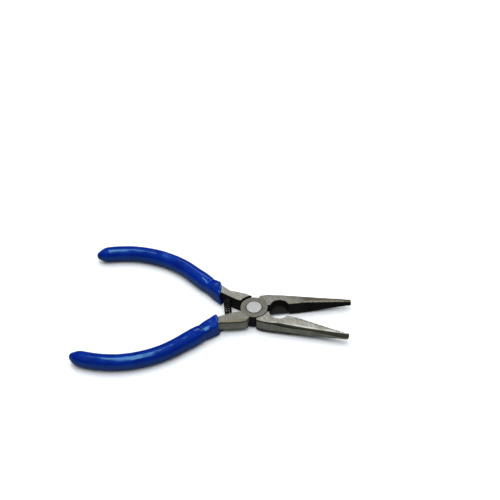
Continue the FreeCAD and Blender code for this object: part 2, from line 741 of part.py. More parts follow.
def check(doc, sub_parts):
    """Stop if any object of the document failed or a sub-part isn't one valid solid."""
    for item in doc.Objects:
        if {"Invalid", "Error"} & set(item.State):
            raise RuntimeError(f"{item.Name} failed: {item.State}")
    for item in sub_parts:
        shape = item.Shape
        if shape.isNull() or not shape.isValid() or len(shape.Solids) != 1:
            raise RuntimeError(f"{item.Label} isn't one valid solid")


def main():
    doc = FreeCAD.newDocument("small_long_nose_pliers")
    sheet = build_sheet(doc)
    slopes = {"top": "Dims.top_handle_slope", "bottom": "Dims.bottom_handle_slope"}
    clearances = {"top": "0", "bottom": "Dims.turning_clearance"}
    sub_parts = [build_rivet(doc, sheet), build_spring(doc, sheet)]
    for side, slope in slopes.items():
        lever = build_lever(doc, sheet, side, slope, clearances[side])
        sub_parts += [lever, build_grip(doc, sheet, side, slope, lever)]
    doc.recompute()
    check(doc, sub_parts)
    os.makedirs("parts", exist_ok=True)
    for item in sub_parts:
        item.Shape.exportStep(f"parts/{item.Label}.step")
        box = item.Shape.BoundBox
        print(f"{item.Label}: {item.Shape.Volume:.2f} mm3, {box}")


main()
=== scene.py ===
import json
import math

import bpy
import numpy as np
from mathutils import Matrix, Vector


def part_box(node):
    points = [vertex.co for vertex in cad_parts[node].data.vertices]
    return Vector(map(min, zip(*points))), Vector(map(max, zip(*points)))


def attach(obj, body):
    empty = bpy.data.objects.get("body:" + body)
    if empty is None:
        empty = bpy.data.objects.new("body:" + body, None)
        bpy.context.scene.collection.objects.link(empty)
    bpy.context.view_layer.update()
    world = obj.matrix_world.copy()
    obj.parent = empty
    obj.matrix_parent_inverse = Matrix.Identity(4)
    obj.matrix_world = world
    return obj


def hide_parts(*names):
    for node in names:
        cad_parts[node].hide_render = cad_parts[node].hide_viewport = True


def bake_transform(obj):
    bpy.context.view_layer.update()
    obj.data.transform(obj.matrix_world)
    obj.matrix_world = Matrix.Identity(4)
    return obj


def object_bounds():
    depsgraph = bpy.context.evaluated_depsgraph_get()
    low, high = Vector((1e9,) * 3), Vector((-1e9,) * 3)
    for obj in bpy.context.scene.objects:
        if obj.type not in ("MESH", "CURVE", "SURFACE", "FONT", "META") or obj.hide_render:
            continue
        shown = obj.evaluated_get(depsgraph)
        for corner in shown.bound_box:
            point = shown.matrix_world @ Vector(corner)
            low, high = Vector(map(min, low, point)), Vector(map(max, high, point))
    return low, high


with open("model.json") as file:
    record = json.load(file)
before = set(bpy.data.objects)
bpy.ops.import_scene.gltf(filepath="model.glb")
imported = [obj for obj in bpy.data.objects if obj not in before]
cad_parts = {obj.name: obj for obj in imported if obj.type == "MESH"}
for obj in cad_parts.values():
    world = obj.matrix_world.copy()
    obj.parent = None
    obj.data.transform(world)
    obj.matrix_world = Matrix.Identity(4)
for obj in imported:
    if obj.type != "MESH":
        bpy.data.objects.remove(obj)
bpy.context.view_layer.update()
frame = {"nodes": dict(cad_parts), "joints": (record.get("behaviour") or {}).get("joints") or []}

# Looks of a pair of small long nose pliers: two forged levers with ground faces, two dipped
# grips, the pivot rivet and the coil spring. Shapes are worked out in millimetres and stored
# in metres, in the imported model's own frame.

MM = 0.001

# ------------------------------------------------------------------ the object's own sizes

OPENING = -frame["joints"][0]["range_deg"][0]
JOINT_LOW, JOINT_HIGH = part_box("pivot_rivet")
THICKNESS = (JOINT_HIGH.z - JOINT_LOW.z) / MM
HEAD_RADIUS = (JOINT_HIGH.x - JOINT_LOW.x) / 2 / MM
BOSS_RADIUS = 6.0

# The cutter's round hollow, and how far below the middle plane its cutting edge lies.
HOLLOW = (11.2, -1.3)
HOLLOW_RADIUS = 4.35
EDGE_DROP = 2.35

# The jaw's teeth: their start, pitch, painted shade of their grooves on the ground top, and
# unevenness.
TEETH_START = 20.0
TOOTH_FIRST = 20.8
TOOTH_PITCH = 0.9
TOOTH_MARK = 1.3
TOOTH_WEAR = 2.4

# Where the ground top turns dark and streaky towards the tip, and how much darker it is overall.
DARK_TIP_FROM = {"top": (18.0, 25.0), "bottom": (38.5, 41.5)}
FACE_SHADE = {"top": 0.45, "bottom": 0.0}

# The outer edge of the jaw's ground top: where it starts, and how fast it nears the jaw face.
RIDGE_START = (8.6, 6.9)
RIDGE_SLOPE = 0.19

# The handle's centre line starts at the collar, runs straight and then bends inwards.
COLLAR = (-16.2, -5.15)
STRAIGHT = 21.3
HANDLE_RADIUS = 46.0
HANDLE_SLOPE = {"top": 30.2, "bottom": 25.2}

# The dip line's turn away from square, its place along the handle, its lean from top to bottom,
# its curve on the outer and on the inner side, and how far its shift reaches along the grip.
COLLAR_SKEW = {"top": 29.5, "bottom": 38.0}
COLLAR_SHIFT = {"top": -0.4, "bottom": 0.8}
COLLAR_LEAN = 0.9
COLLAR_CURVE = {"top": 0.04, "bottom": 0.16}
NOSE_CURVE = 0.07
COLLAR_REACH = 6.0

# Grip sections: distance from the collar, share of the skew, width, height and corner radius.
GRIP_SECTIONS = (
    (0.0, 1.0, 6.6, 7.5, 1.9),
    (1.2, 0.82, 6.9, 7.8, 1.9),
    (3.0, 0.55, 6.8, 7.6, 2.0),
    (6.0, 0.22, 6.6, 7.3, 2.1),
    (7.9, 0.1, 6.3, 6.8, 2.2),
    (8.7, 0.08, 6.2, 6.5, 2.3),
    (9.8, 0.04, 6.9, 7.2, 2.8),
    (12.5, 0.0, 7.4, 7.7, 3.3),
    (20.0, 0.0, 7.1, 7.5, 3.4),
    (30.0, 0.0, 6.9, 7.3, 3.3),
    (46.0, 0.0, 6.8, 7.2, 3.3),
    (61.0, 0.0, 6.8, 7.2, 3.3),
    (64.4, 0.0, 6.7, 7.1, 3.3),
    (66.4, 0.0, 5.9, 6.2, 2.9),
    (69.6, 0.0, 2.3, 2.6, 1.15),
)
GRIP_LENGTH = 69.6
BORE_WIDTH, BORE_HEIGHT, BORE_CORNER = 4.2, 4.6, 1.2
BORE_DEPTH = 66.5

# The return spring: its seats' places, the mouths of the seats, and the coil.
SPRING_X = {"top": -11.3, "bottom": -13.2}
SEAT_MOUTH = 2.2
IN_SEAT = 1.65
SPRING_EASE = 0.15
COIL_RADIUS = 1.35
WIRE_RADIUS = 0.33
COILS = 12
TURN_STEPS = 36
WIRE_SIDES = 12

# --------------------------------------------------------------------------- mesh tools


def lever_places(points, side):
    """Row places in mm, in the lever's own frame: jaws closed along +X, its jaw on the +Y side."""
    turn = math.radians(-OPENING / 2 if side == "top" else OPENING / 2)
    x = points[:, 0] * math.cos(turn) - points[:, 1] * math.sin(turn)
    y = points[:, 0] * math.sin(turn) + points[:, 1] * math.cos(turn)
    z = points[:, 2]
    flip = 1.0 if side == "top" else -1.0
    return np.column_stack((x, flip * y, flip * z))


def row_places(points, side):
    """Places in mm from a lever's own frame, with its middle plane at Z 0, to the row's."""
    flip = 1.0 if side == "top" else -1.0
    turn = math.radians(OPENING / 2 if side == "top" else -OPENING / 2)
    y_own = points[:, 1] * flip
    x = points[:, 0] * math.cos(turn) - y_own * math.sin(turn)
    y = points[:, 0] * math.sin(turn) + y_own * math.cos(turn)
    return np.column_stack((x, y, points[:, 2] * flip + THICKNESS / 2))


def read_places(mesh):
    """A mesh's vertex places."""
    places = np.empty(len(mesh.vertices) * 3)
    mesh.vertices.foreach_get("co", places)
    return places.reshape(-1, 3)


def write_places(mesh, places):
    """Set a mesh's vertex places."""
    mesh.vertices.foreach_set("co", np.ascontiguousarray(places, dtype=np.float32).ravel())
    mesh.update()


def read_normals(mesh):
    """A mesh's vertex normals."""
    normals = np.empty(len(mesh.vertices) * 3)
    mesh.vertices.foreach_get("normal", normals)
    return normals.reshape(-1, 3)


def smoothed(values, mesh, rounds):
    """Values on vertices, each moved halfway to its neighbours' mean, a number of times."""
    edges = np.empty(len(mesh.edges) * 2, dtype=np.int32)
    mesh.edges.foreach_get("vertices", edges)
    first, second = edges[0::2], edges[1::2]
    count = len(mesh.vertices)
    neighbours = np.bincount(first, minlength=count) + np.bincount(second, minlength=count)
    neighbours = np.maximum(neighbours, 1)
    values = values.copy()
    for _ in range(rounds):
        for k in range(values.shape[1]):
            column = values[:, k]
            total = np.bincount(first, weights=column[second], minlength=count)
            total += np.bincount(second, weights=column[first], minlength=count)
            values[:, k] = (column + total / neighbours) / 2
    return values


def add_attribute(mesh, name, values):
    """Store one number for each vertex, for the materials to read."""
    attribute = mesh.attributes.new(name, "FLOAT", "POINT")
    attribute.data.foreach_set("value", np.asarray(values, dtype=np.float32))


def step(values, low, high):
    """0 below low, 1 above high and smooth between."""
    share = np.clip((values - low) / (high - low), 0, 1)
    return share * share * (3 - 2 * share)


def ripple(points, wavelength, waves, seed):
    """A smooth random height at each place, between about -1 and 1, from crossed waves."""
    rng = np.random.default_rng(seed)
    height = np.zeros(len(points))
    for _ in range(waves):
        direction = rng.normal(size=3)
        direction /= np.linalg.norm(direction)
        number = 2 * math.pi / (wavelength * rng.uniform(0.7, 1.5))
        height += np.sin(points @ direction * number + rng.uniform(0, 2 * math.pi))
    return height / math.sqrt(waves)


def new_piece(name, mesh):
    """An object for a mesh in mm, put in the scene in metres and shaded smooth."""
    mesh.transform(Matrix.Scale(MM, 4))
    mesh.shade_smooth()
    piece = bpy.data.objects.new(name, mesh)
    bpy.context.scene.collection.objects.link(piece)
    return piece


def mesh_from(name, places, faces):
    """A mesh from places in mm and faces."""
    mesh = bpy.data.meshes.new(name)
    mesh.from_pydata([tuple(p) for p in places], [], faces)
    mesh.validate()
    mesh.update()
    return mesh


def with_modifiers(mesh, steps):
    """The mesh after a list of (modifier type, settings), each applied in turn."""
    worker = bpy.data.objects.new("worker", mesh)
    bpy.context.scene.collection.objects.link(worker)
    for kind, settings in steps:
        modifier = worker.modifiers.new(kind.lower(), kind)
        for setting, value in settings.items():
            setattr(modifier, setting, value)
    graph = bpy.context.evaluated_depsgraph_get()
    result = bpy.data.meshes.new_from_object(worker.evaluated_get(graph), depsgraph=graph)
    bpy.data.objects.remove(worker)
    return result


def tube_faces(rings, around, closed_ends=False):
    """Quads between rings of the same number of places, and caps if wanted."""
    faces = []
    for ring in range(rings - 1):
        for k in range(around):
            following = (k + 1) % around
            a, b = ring * around + k, ring * around + following
            faces.append((a, b, b + around, a + around))
    if closed_ends:
        faces.append(tuple(reversed(range(around))))
        faces.append(tuple(range((rings - 1) * around, rings * around)))
    return faces


# ------------------------------------------------------------------------------ levers

VOXEL = 0.12
WELD_REACH = 1e-4
ROUNDING_ROUNDS = 5
ROOT_ROUNDS = 60
TOOTH_ROUNDS = 2
EDGE_ROUNDS = 14
EDGE_HEIGHT = 0.07
FORGING_RIPPLE = 0.035
RIPPLE_WAVELENGTH, RIPPLE_WAVES, RIPPLE_SEED = 3.2, 14, 3

# Where the finishes, painted shade and painted highlights begin and end on a lever, in mm in its
# own frame, and for faces the share of the normal that points along the pivot.
JAW_FROM = (3.0, 3.6)
NECK_FROM = (2.6, 3.2)
LEVEL_FACES = (0.86, 0.97)
LAP_FACES = (0.8, 0.9)
SLOPED_FACES = (0.22, 0.34)
MIDDLE_PLANE = (0.4, 0.6)
# How high up the side the painted shade on the jaw's outer bevel begins, and how that height drops
# along the jaw.
CHEEK_FOOT = 3.0
CHEEK_DROPS = ((1.4, 5.0, 18.0), (1.1, 26.0, 41.0))
NECK_EDGE = -6.9
# How far out from the jaw face the painted highlight runs along the darker tip.
CREST = 0.8


def ridge_at(x):
    """How far out from the jaw face its ground top reaches."""
    return RIDGE_START[1] - (x - RIDGE_START[0]) * RIDGE_SLOPE


def hump(values, middle, width):
    """1 at the middle, falling smoothly to 0 beyond the width."""
    return np.exp(-(((values - middle) / width) ** 2))


def own_places(mesh, side):
    """Vertex places in the lever's own frame, with its middle plane at Z 0."""
    return lever_places(read_places(mesh) - np.array((0, 0, THICKNESS / 2)), side)


def round_lever(mesh, side):
    """Round all edges: the teeth least, the jaw's root and the neck's heel most."""
    x, y, _ = own_places(mesh, side).T
    teeth = step(x, TEETH_START - 0.5, TEETH_START) * step(-y, -1.4, -1.0)
    root = step(x, 2.5, 4.5) * (1 - step(x, 9.0, 14.0)) * step(y, 5.2, 6.2)
    heel = step(-x, 2.0, 3.0) * step(x, -5.5, -4.5) * step(-y, 6.2, 6.8)
    corner = np.clip(root + heel, 0, 1)[:, None]
    tooth = teeth[:, None]
    crisp = smoothed(read_places(mesh), mesh, TOOTH_ROUNDS)
    soft = smoothed(crisp, mesh, ROUNDING_ROUNDS - TOOTH_ROUNDS)
    softest = smoothed(soft, mesh, ROOT_ROUNDS)
    places = soft * (1 - corner) + softest * corner
    write_places(mesh, places * (1 - tooth) + crisp * tooth)
    return teeth


def finish_marks(own, own_normals, teeth, side):
    """How much of each finish, painted shade and painted highlight every vertex of a lever has,
    and how rippled it is.
    """
    x, y, z = own.T
    _, ny, nz = own_normals.T
    up = z if side == "top" else -z
    radial = np.hypot(x, y)
    ridge = ridge_at(x)

    level = step(np.abs(nz), *LEVEL_FACES) * step(np.abs(z), *MIDDLE_PLANE)
    lap = step(np.abs(nz), *LAP_FACES) * (1 - step(np.abs(z), *MIDDLE_PLANE))
    jaw_outer = step(x, *JAW_FROM) * step(ny, -0.2, 0.3)
    neck_outer = step(-x, *NECK_FROM) * step(-ny, -0.2, 0.3)
    beyond = step(y - ridge, -0.1, 0.3) * step(x, 5.0, 8.0)
    # Painted highlight along the outer edge of the jaw's ground top.
    ridge_highlight = hump(y, ridge - 0.4, 0.3) * step(x, 7.0, 10.0) * level
    gilt = hump(y, NECK_EDGE, 0.5) * step(x, -13.0, -6.0) * level
    if side == "top":
        gilt += hump(y, ridge + 0.2, 0.4) * step(x, 5.0, 9.0)
        ridge_highlight *= 1 - step(x, 12.0, 18.0)

    off_centre = np.hypot(x - HOLLOW[0], y - HOLLOW[1])
    hollow = 1 - step(off_centre, HOLLOW_RADIUS, HOLLOW_RADIUS + 0.15)
    hollow *= 1 - step(up, THICKNESS / 2 - 0.3, THICKNESS / 2 - 0.1)
    hollow *= step(up, -EDGE_DROP - 0.3, -EDGE_DROP - 0.1)
    level *= (1 - beyond) * (1 - hollow)
    outer = np.clip(jaw_outer + neck_outer + beyond, 0, 1)

    cheek_foot = CHEEK_FOOT - sum(drop * step(x, *span) for drop, *span in CHEEK_DROPS)
    # Painted shade on the jaw's outer bevel, a facet that only looks darker from how the light
    # falls.
    cheek_shade = np.maximum(jaw_outer, beyond) * (1 - level)
    cheek_shade *= step(np.abs(z), cheek_foot - 0.4, cheek_foot + 0.4)
    slope = step(np.abs(nz), *SLOPED_FACES) * (1 - step(np.abs(nz), 0.86, 0.95))
    # Painted shade of the teeth's grooves, drawn as marks across the ground top.
    tooth_groove_shade = step(np.cos(2 * math.pi * (x - TOOTH_FIRST) / TOOTH_PITCH), -0.4, 0.2)
    tooth_groove_shade *= 0.6 + 0.4 * np.cos(2 * math.pi * x / TOOTH_WEAR)
    tooth_groove_shade *= step(x, TEETH_START - 0.5, TEETH_START)
    tooth_groove_shade *= 1 - step(y, TOOTH_MARK * 0.5, TOOTH_MARK)

    rippled = (1 - level) * (1 - teeth) * (1 - lap)
    rippled *= step(radial, BOSS_RADIUS + 0.8, BOSS_RADIUS + 1.6)
    rippled *= 1 - step(x, 4.0, 5.0) * (1 - step(y, 0.8, 1.4))
    marks = {
        "level": level,
        # Blackened inner faces, joint laps and hollow; in the joint's gaps around the boss this is
        # painted shade.
        "dark": np.clip((1 - outer) * (1 - level) + lap + hollow, 0, 1),
        "cheek_shade": cheek_shade,
        "bevel": slope * step(-x, *NECK_FROM) * step(-ny, 0.0, 0.3),
        "boss": (1 - step(radial, BOSS_RADIUS - 0.1, BOSS_RADIUS + 0.3)) * level,
        # Painted shade in the gap around the rivet head.
        "ring": level * hump(radial, HEAD_RADIUS + 0.42, 0.16),
        # Painted shade along the bottom of the outer sides, next to the floor.
        "foot_shade": outer * (1 - level) * step(-up, 0.9, 2.2),
        "brow": outer * (1 - level) * step(up, 2.0, 2.8),
        "tooth_groove_shade": tooth_groove_shade,
        "dark_tip": step(x, *DARK_TIP_FROM[side]),
        "crest_highlight": hump(y, CREST, 0.45) * step(x, 16.0, 24.0),
        "gilt": gilt,
        "ridge_highlight": ridge_highlight,
        "shade": np.full(len(x), FACE_SHADE[side]),
    }
    return marks, rippled


def build_lever(side):
    """The lever's forging: the CAD shape with rounded edges, ripples, and marks for its finish and
    its painted shade and highlights.
    """
    node = f"{side}_lever"
    mesh = frame["nodes"][node].data.copy()
    mesh.transform(Matrix.Scale(1 / MM, 4))
    mesh = with_modifiers(mesh, [("WELD", {"merge_threshold": WELD_REACH})])
    mesh = with_modifiers(mesh, [("REMESH", {"mode": "VOXEL", "voxel_size": VOXEL})])
    teeth = round_lever(mesh, side)

    places, normals = read_places(mesh), read_normals(mesh)
    own_normals = lever_places(normals, side)
    marks, rippled = finish_marks(own_places(mesh, side), own_normals, teeth, side)
    past_soft = ((places - smoothed(places, mesh, EDGE_ROUNDS)) * normals).sum(axis=1)
    marks["edge"] = np.clip(past_soft / EDGE_HEIGHT, -1, 1)
    lift = ripple(places, RIPPLE_WAVELENGTH, RIPPLE_WAVES, RIPPLE_SEED) * FORGING_RIPPLE
    write_places(mesh, places + normals * (lift * rippled)[:, None])
    for name, values in marks.items():
        add_attribute(mesh, name, values)

    piece = new_piece(f"{side}_lever_forging", mesh)
    piece.data.materials.clear()
    piece.data.materials.append(forged_steel())
    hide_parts(node)
    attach(piece, f"{side}_half")


# ------------------------------------------------------------------------------- grips

AROUND = 96
RING_STEP = 0.35
BORE_RINGS = 40
BORE_MOUTH = 0.25
LIP_RADIUS = 0.55
END_RADIUS = 0.8
QUARTER_TURN = np.linspace(0, math.pi / 2, 7)
SECTION_STEP = 0.1
SECTION_BLEND = 13
DIP_RIPPLE = 0.035
DIP_WAVELENGTH, DIP_WAVES, DIP_SEED = 7.0, 12, 11


def centre_line(along, slope):
    """Places (x, y) and direction angles of the handle's centre line, in the lever's own frame."""
    angle = math.radians(slope)
    straight = np.minimum(along, STRAIGHT)
    turn = np.maximum(along - STRAIGHT, 0) / HANDLE_RADIUS
    x = COLLAR[0] - straight * math.cos(angle)
    y = COLLAR[1] - straight * math.sin(angle)
    angles = angle - turn
    x = x - HANDLE_RADIUS * (math.sin(angle) - np.sin(angles))
    y = y + HANDLE_RADIUS * (math.cos(angle) - np.cos(angles))
    return x, y, angles


def section_values(along):
    """Skew share, width, height and corner at each distance, smoothed between sections."""
    table = np.array(GRIP_SECTIONS)
    fine = np.arange(-3.0, GRIP_LENGTH + 3.0, SECTION_STEP)
    kernel = np.hanning(SECTION_BLEND)
    kernel /= kernel.sum()
    columns = []
    for column in range(1, table.shape[1]):
        raw = np.interp(fine, table[:, 0], table[:, column])
        soft = np.convolve(raw, kernel, mode="same")
        columns.append(np.interp(along, fine, soft))
    return columns


def rounded_section(width, height, corner):
    """A section with round corners: places across and up, as a superellipse."""
    half = (width + height) / 4
    power = math.log(0.5) / math.log(1 - (1 - math.sqrt(0.5)) * corner / half)
    angles = np.linspace(0, 2 * math.pi, AROUND, endpoint=False)
    across = width / 2 * np.sign(np.cos(angles)) * np.abs(np.cos(angles)) ** (2 / power)
    up = height / 2 * np.sign(np.sin(angles)) * np.abs(np.sin(angles)) ** (2 / power)
    return across, up


def ring_at(along, side, width, height, corner, share):
    """One ring of places across the handle, in the lever's own frame."""
    along += COLLAR_SHIFT[side] * max(1 - along / COLLAR_REACH, 0)
    x, y, angle = (float(v[0]) for v in centre_line(np.array([along]), HANDLE_SLOPE[side]))
    across, up = rounded_section(width, height, corner)
    object_up = up if side == "top" else -up
    forward = across * -math.tan(math.radians(COLLAR_SKEW[side]) * share)
    forward -= share * COLLAR_LEAN * object_up / height
    forward -= share * COLLAR_CURVE[side] * np.maximum(across, 0) ** 2
    forward -= share * NOSE_CURVE * np.maximum(-across, 0) ** 2
    ring_x = x + across * math.sin(angle) + forward * math.cos(angle)
    ring_y = y - across * math.cos(angle) + forward * math.sin(angle)
    return np.column_stack((ring_x, ring_y, up))


def build_grip(side):
    """A dipped sleeve: outer skin from lip to rounded end, and a bore that holds the tang."""
    rings = []
    bore = BORE_WIDTH, BORE_HEIGHT, BORE_CORNER
    for along in np.linspace(BORE_DEPTH, BORE_MOUTH, BORE_RINGS):
        rings.append(ring_at(along, side, *bore, section_values(along)[0]))
    lip = LIP_RADIUS * (1 - np.cos(QUARTER_TURN))
    body = np.arange(LIP_RADIUS + BORE_MOUTH, GRIP_LENGTH - END_RADIUS, RING_STEP)
    end = GRIP_LENGTH - END_RADIUS * (1 - np.sin(QUARTER_TURN))
    for along in (*lip, *body, *end):
        skew, width, height, corner = section_values(along)
        trim = 0.0
        if along < LIP_RADIUS:
            trim = LIP_RADIUS - math.sqrt(LIP_RADIUS**2 - (LIP_RADIUS - along) ** 2)
        if along > GRIP_LENGTH - END_RADIUS:
            past = along - GRIP_LENGTH + END_RADIUS
            trim = END_RADIUS - math.sqrt(max(END_RADIUS**2 - past**2, 0))
        size = width - 2 * trim, height - 2 * trim
        rings.append(ring_at(along, side, *size, max(corner - trim * 0.5, 0.4), skew))
    places = row_places(np.concatenate(rings), side)
    faces = tube_faces(len(rings), AROUND, closed_ends=True)
    mesh = mesh_from(f"{side}_lever_grip_skin", places, faces)
    if side == "bottom":
        mesh.flip_normals()
    normals = read_normals(mesh)
    lift = ripple(places, DIP_WAVELENGTH, DIP_WAVES, DIP_SEED) * DIP_RIPPLE
    skin = np.arange(len(places)) >= (BORE_RINGS + 1) * AROUND
    write_places(mesh, places + normals * (lift * skin)[:, None])
    piece = new_piece(f"{side}_lever_dipped_grip", mesh)
    piece.data.materials.append(dipped_plastic())
    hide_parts(f"{side}_lever_grip")
    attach(piece, f"{side}_half")


# --------------------------------------------------------------------- rivet and spring

RIVET_STEPS = 128
DOME_STEPS, EDGE_STEPS = 11, 6
SHANK_RADIUS = 2.5
HEAD_DEPTH = 0.75
HEAD_DOME = 0.16
HEAD_RISE = 0.1
HEAD_EDGE = 0.15
EDGE_FALL = 0.12
HEAD_SPREAD = 0.1


def build_rivet():
    """The pivot rivet: a turned shank with two slightly domed heads flush with the joint."""
    rim = HEAD_RADIUS + HEAD_SPREAD
    profile = [(0.0, THICKNESS + HEAD_DOME)]
    for k in range(1, DOME_STEPS + 1):
        radius = (rim - HEAD_EDGE) * k / DOME_STEPS
        dome = HEAD_DOME - (HEAD_DOME - HEAD_RISE) * (radius / rim) ** 2
        profile.append((radius, THICKNESS + dome))
    for k in range(1, EDGE_STEPS + 1):
        angle = math.pi / 2 * k / EDGE_STEPS
        radius = rim - HEAD_EDGE + HEAD_EDGE * math.sin(angle)
        profile.append((radius, THICKNESS + HEAD_RISE - EDGE_FALL * (1 - math.cos(angle))))
    profile.append((HEAD_RADIUS, THICKNESS + HEAD_RISE - EDGE_FALL))
    profile.append((HEAD_RADIUS, THICKNESS - HEAD_DEPTH))
    profile.append((SHANK_RADIUS, THICKNESS - HEAD_DEPTH))
    upper = [(r, z - THICKNESS / 2) for r, z in profile]
    outline = upper + [(r, -z) for r, z in reversed(upper)]
    places = []
    for radius, z in outline[1:-1]:
        for k in range(RIVET_STEPS):
            angle = 2 * math.pi * k / RIVET_STEPS
            places.append((radius * math.cos(angle), radius * math.sin(angle), z + THICKNESS / 2))
    rings = len(outline) - 2
    faces = tube_faces(rings, RIVET_STEPS)
    top, bottom = len(places), len(places) + 1
    places += [(0, 0, outline[0][1] + THICKNESS / 2), (0, 0, outline[-1][1] + THICKNESS / 2)]
    last = (rings - 1) * RIVET_STEPS
    for k in range(RIVET_STEPS):
        following = (k + 1) % RIVET_STEPS
        faces.append((top, following, k))
        faces.append((bottom, last + k, last + following))
    mesh = mesh_from("pivot_rivet_turned", np.array(places), faces)
    mesh.flip_normals()
    piece = new_piece("pivot_rivet_turned", mesh)
    piece.data.materials.append(rivet_steel())
    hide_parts("pivot_rivet")
    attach(piece, "top_half")


def spring_mouth(side):
    """Where the spring leaves a lever's seat, and the way out of the seat, in the row's frame."""
    ends = np.array(((SPRING_X[side], -SEAT_MOUTH, 0.0), (SPRING_X[side], 0.0, 0.0)))
    mouth, inner = row_places(ends, side)
    return Vector(mouth), Vector(inner - mouth).normalized()


def build_spring():
    """The return spring: wire coiled about a line that bends from one seat to the other."""
    start, leave = spring_mouth("top")
    end, arrive = spring_mouth("bottom")
    bend = (end - start).length
    ease = bend * SPRING_EASE
    poles = start, start + leave * ease, end + arrive * ease, end
    steps = COILS * TURN_STEPS
    total = 2 * IN_SEAT + bend
    lead = total / (2 * math.pi * COILS)

    def middle(along):
        """A place on the coil's middle line and the way forward there."""
        share = min(max((along - IN_SEAT) / bend, 0), 1)
        rest = 1 - share
        place = poles[0] * rest**3 + poles[1] * 3 * rest**2 * share
        place += poles[2] * 3 * rest * share**2 + poles[3] * share**3
        ahead = (poles[1] - poles[0]) * rest**2 + (poles[2] - poles[1]) * 2 * rest * share
        ahead = (ahead + (poles[3] - poles[2]) * share**2).normalized()
        past = min(along - IN_SEAT, 0) + max(along - IN_SEAT - bend, 0)
        return place + ahead * past, ahead

    places = []
    for i in range(steps + 1):
        share = i / steps
        pitch = min(1.0, min(share, 1 - share) * COILS)
        turn = 2 * math.pi * COILS * share
        point, ahead = middle(total * share)
        outward = Vector((ahead.y, -ahead.x, 0))
        arm = outward * math.cos(turn) + Vector((0, 0, math.sin(turn)))
        centre = point + arm * COIL_RADIUS
        tangent = outward * -math.sin(turn) + Vector((0, 0, math.cos(turn)))
        tangent = (tangent * COIL_RADIUS + ahead * lead * pitch).normalized()
        binormal = tangent.cross(arm).normalized()
        for k in range(WIRE_SIDES):
            angle = 2 * math.pi * k / WIRE_SIDES
            offset = arm * math.cos(angle) + binormal * math.sin(angle)
            places.append(tuple(centre + offset * WIRE_RADIUS))
    faces = tube_faces(steps + 1, WIRE_SIDES, closed_ends=True)
    mesh = mesh_from("return_spring_coil", np.array(places), faces)
    mesh.flip_normals()
    piece = new_piece("return_spring_coil", mesh)
    piece.data.materials.append(spring_steel())
    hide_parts("return_spring")
    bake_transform(piece)


# --------------------------------------------------------------------------- materials


class Shader:
    """A material's node tree. Its texture places are in mm."""

    def __init__(self, name):
        self.material = bpy.data.materials.new(name)
        self.material.use_nodes = True
        self.tree = self.material.node_tree
        self.surface = self.tree.nodes["Principled BSDF"]
        places = self.tree.nodes.new("ShaderNodeTexCoord").outputs["Object"]
        self.places = self.mapped(places, scale=(1 / MM,) * 3)

    def put(self, target, value):
        """Link a socket to another, or set its value."""
        if isinstance(value, bpy.types.NodeSocket):
            self.tree.links.new(value, target)
        else:
            target.default_value = value

    def add(self, kind, inputs=None, **settings):
        """A node with its inputs set or linked, by name or number."""
        node = self.tree.nodes.new("ShaderNode" + kind)
        for setting, value in settings.items():
            setattr(node, setting, value)
        for socket, value in (inputs or {}).items():
            self.put(node.inputs[socket], value)
        return node

    def mapped(self, places, scale=(1, 1, 1), turn=0.0):
        """Texture places, turned about Z and then scaled."""
        if turn:
            places = self.add(
                "VectorRotate", {"Vector": places, "Angle": math.radians(turn)}
            ).outputs["Vector"]
        inputs = {"Vector": places, "Scale": scale}
        return self.add("Mapping", inputs, vector_type="POINT").outputs["Vector"]

    def noise(self, places, scale, detail=3.0, roughness=0.5):
        """Noise between 0 and 1, scale in features per mm."""
        inputs = {"Vector": places, "Scale": scale, "Detail": detail, "Roughness": roughness}
        return self.add("TexNoise", inputs).outputs["Fac"]

    def attribute(self, name):
        """A number stored on the mesh."""
        return self.add("Attribute", attribute_name=name).outputs["Fac"]

    def calc(self, kind, a, b=0.0):
        """One step of arithmetic between two values."""
        return self.add("Math", {0: a, 1: b}, operation=kind).outputs["Value"]

    def between(self, value, low, high, to_low=0.0, to_high=1.0):
        """Value from low to high, turned into to_low to to_high and held there."""
        inputs = {
            "Value": value,
            "From Min": low,
            "From Max": high,
            "To Min": to_low,
            "To Max": to_high,
        }
        return self.add("MapRange", inputs, clamp=True).outputs["Result"]

    def mix(self, share, a, b):
        """Colour a where share is 0 and colour b where it is 1."""
        node = self.add("Mix", data_type="RGBA")
        self.put(node.inputs["Factor"], share)
        for socket, colour in ((6, a), (7, b)):
            value = (*colour, 1.0) if isinstance(colour, tuple) else colour
            self.put(node.inputs[socket], value)
        return node.outputs[2]

    def bump(self, height, depth_mm, strength=1.0, normal=None):
        """A bumped normal whose height of 1 is a depth in mm."""
        inputs = {"Height": height, "Distance": depth_mm * MM, "Strength": strength}
        if normal is not None:
            inputs["Normal"] = normal
        return self.add("Bump", inputs).outputs["Normal"]

    def finish(self, **inputs):
        """Set the surface's own inputs, by their names with underscores for spaces."""
        for name, value in inputs.items():
            self.put(self.surface.inputs[name.replace("_", " ")], value)
        return self.material


_made = {}


def once(build):
    """Make a material the first time it is asked for, and give the same one after that."""

    def give():
        if build.__name__ not in _made:
            _made[build.__name__] = build()
        return _made[build.__name__]

    return give


